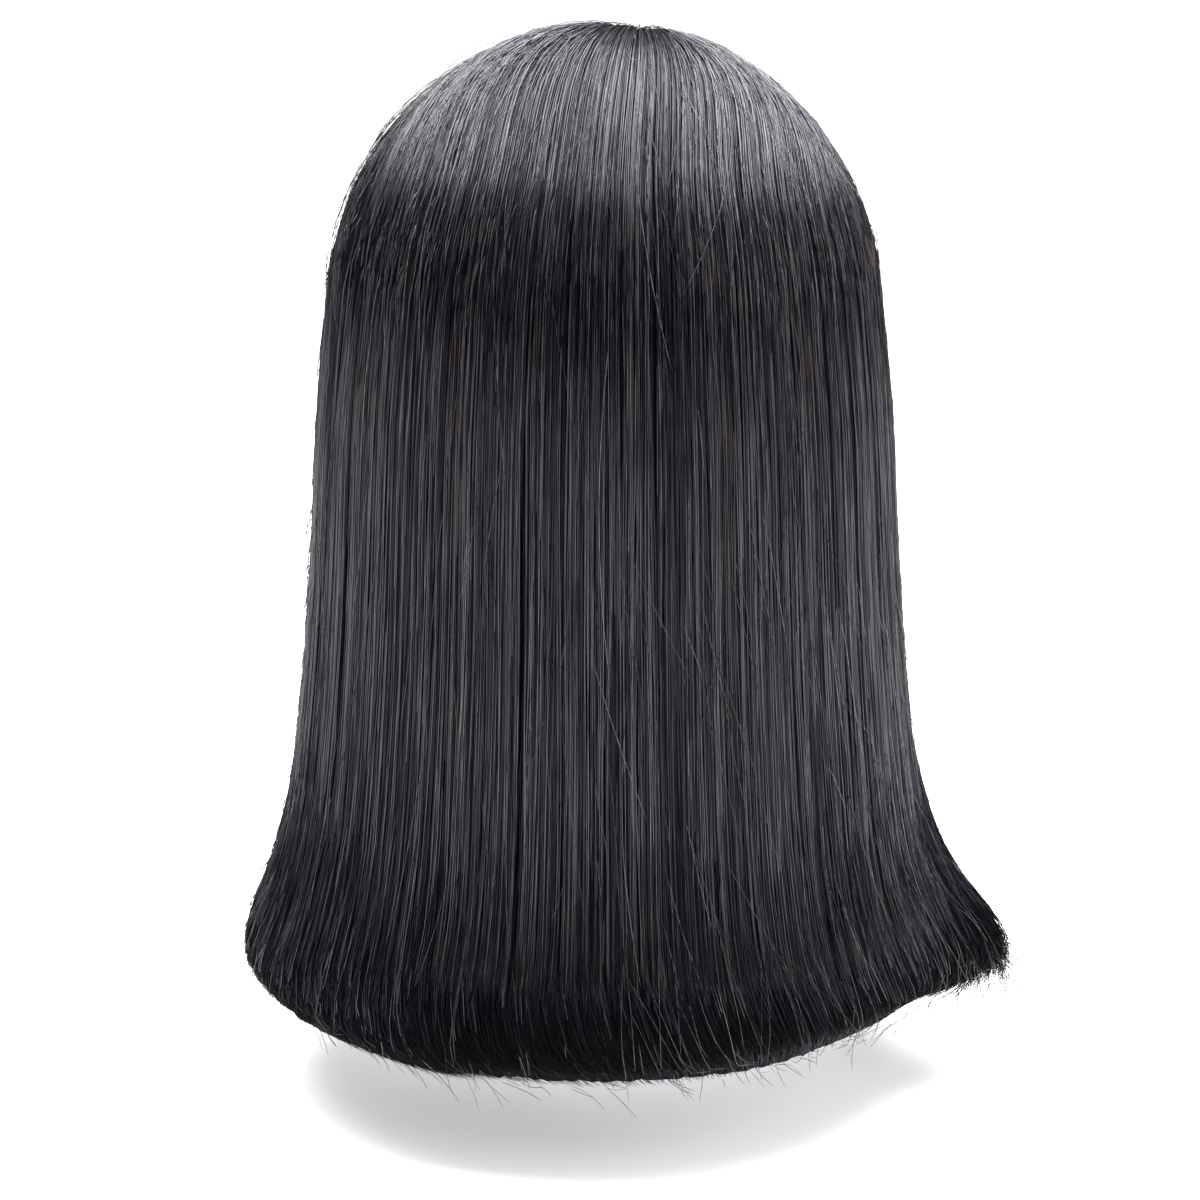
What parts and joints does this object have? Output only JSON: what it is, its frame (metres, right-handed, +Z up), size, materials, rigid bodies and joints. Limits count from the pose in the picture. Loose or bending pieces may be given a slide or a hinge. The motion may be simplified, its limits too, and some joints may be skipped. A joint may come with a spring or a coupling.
{
  "type": "bob wig",
  "caption": "Straight shoulder-length bob wig with a parting near the middle, hair panels over a thin cap open for the head, kept in its worn form.",
  "frame": {"origin": "where the top of the head touches the inside of the cap", "axes": "+Z up, the wearer faces -Y, +X is the wearer's left"},
  "size_m": [0.2476, 0.2133, 0.3104],
  "materials": {
    "cap": "matt stretch net",
    "lace": "fine skin-toned lace",
    "hair": "straight natural black hair with a soft sheen"
  },
  "bodies": {
    "root": {"cap": "cap", "parting_lace": "lace", "hair_back_middle": "hair", "hair_back_left": "hair", "hair_back_right": "hair", "hair_side_left": "hair", "hair_side_right": "hair", "hair_front_left": "hair", "hair_front_right": "hair"}
  },
  "joints": []
}
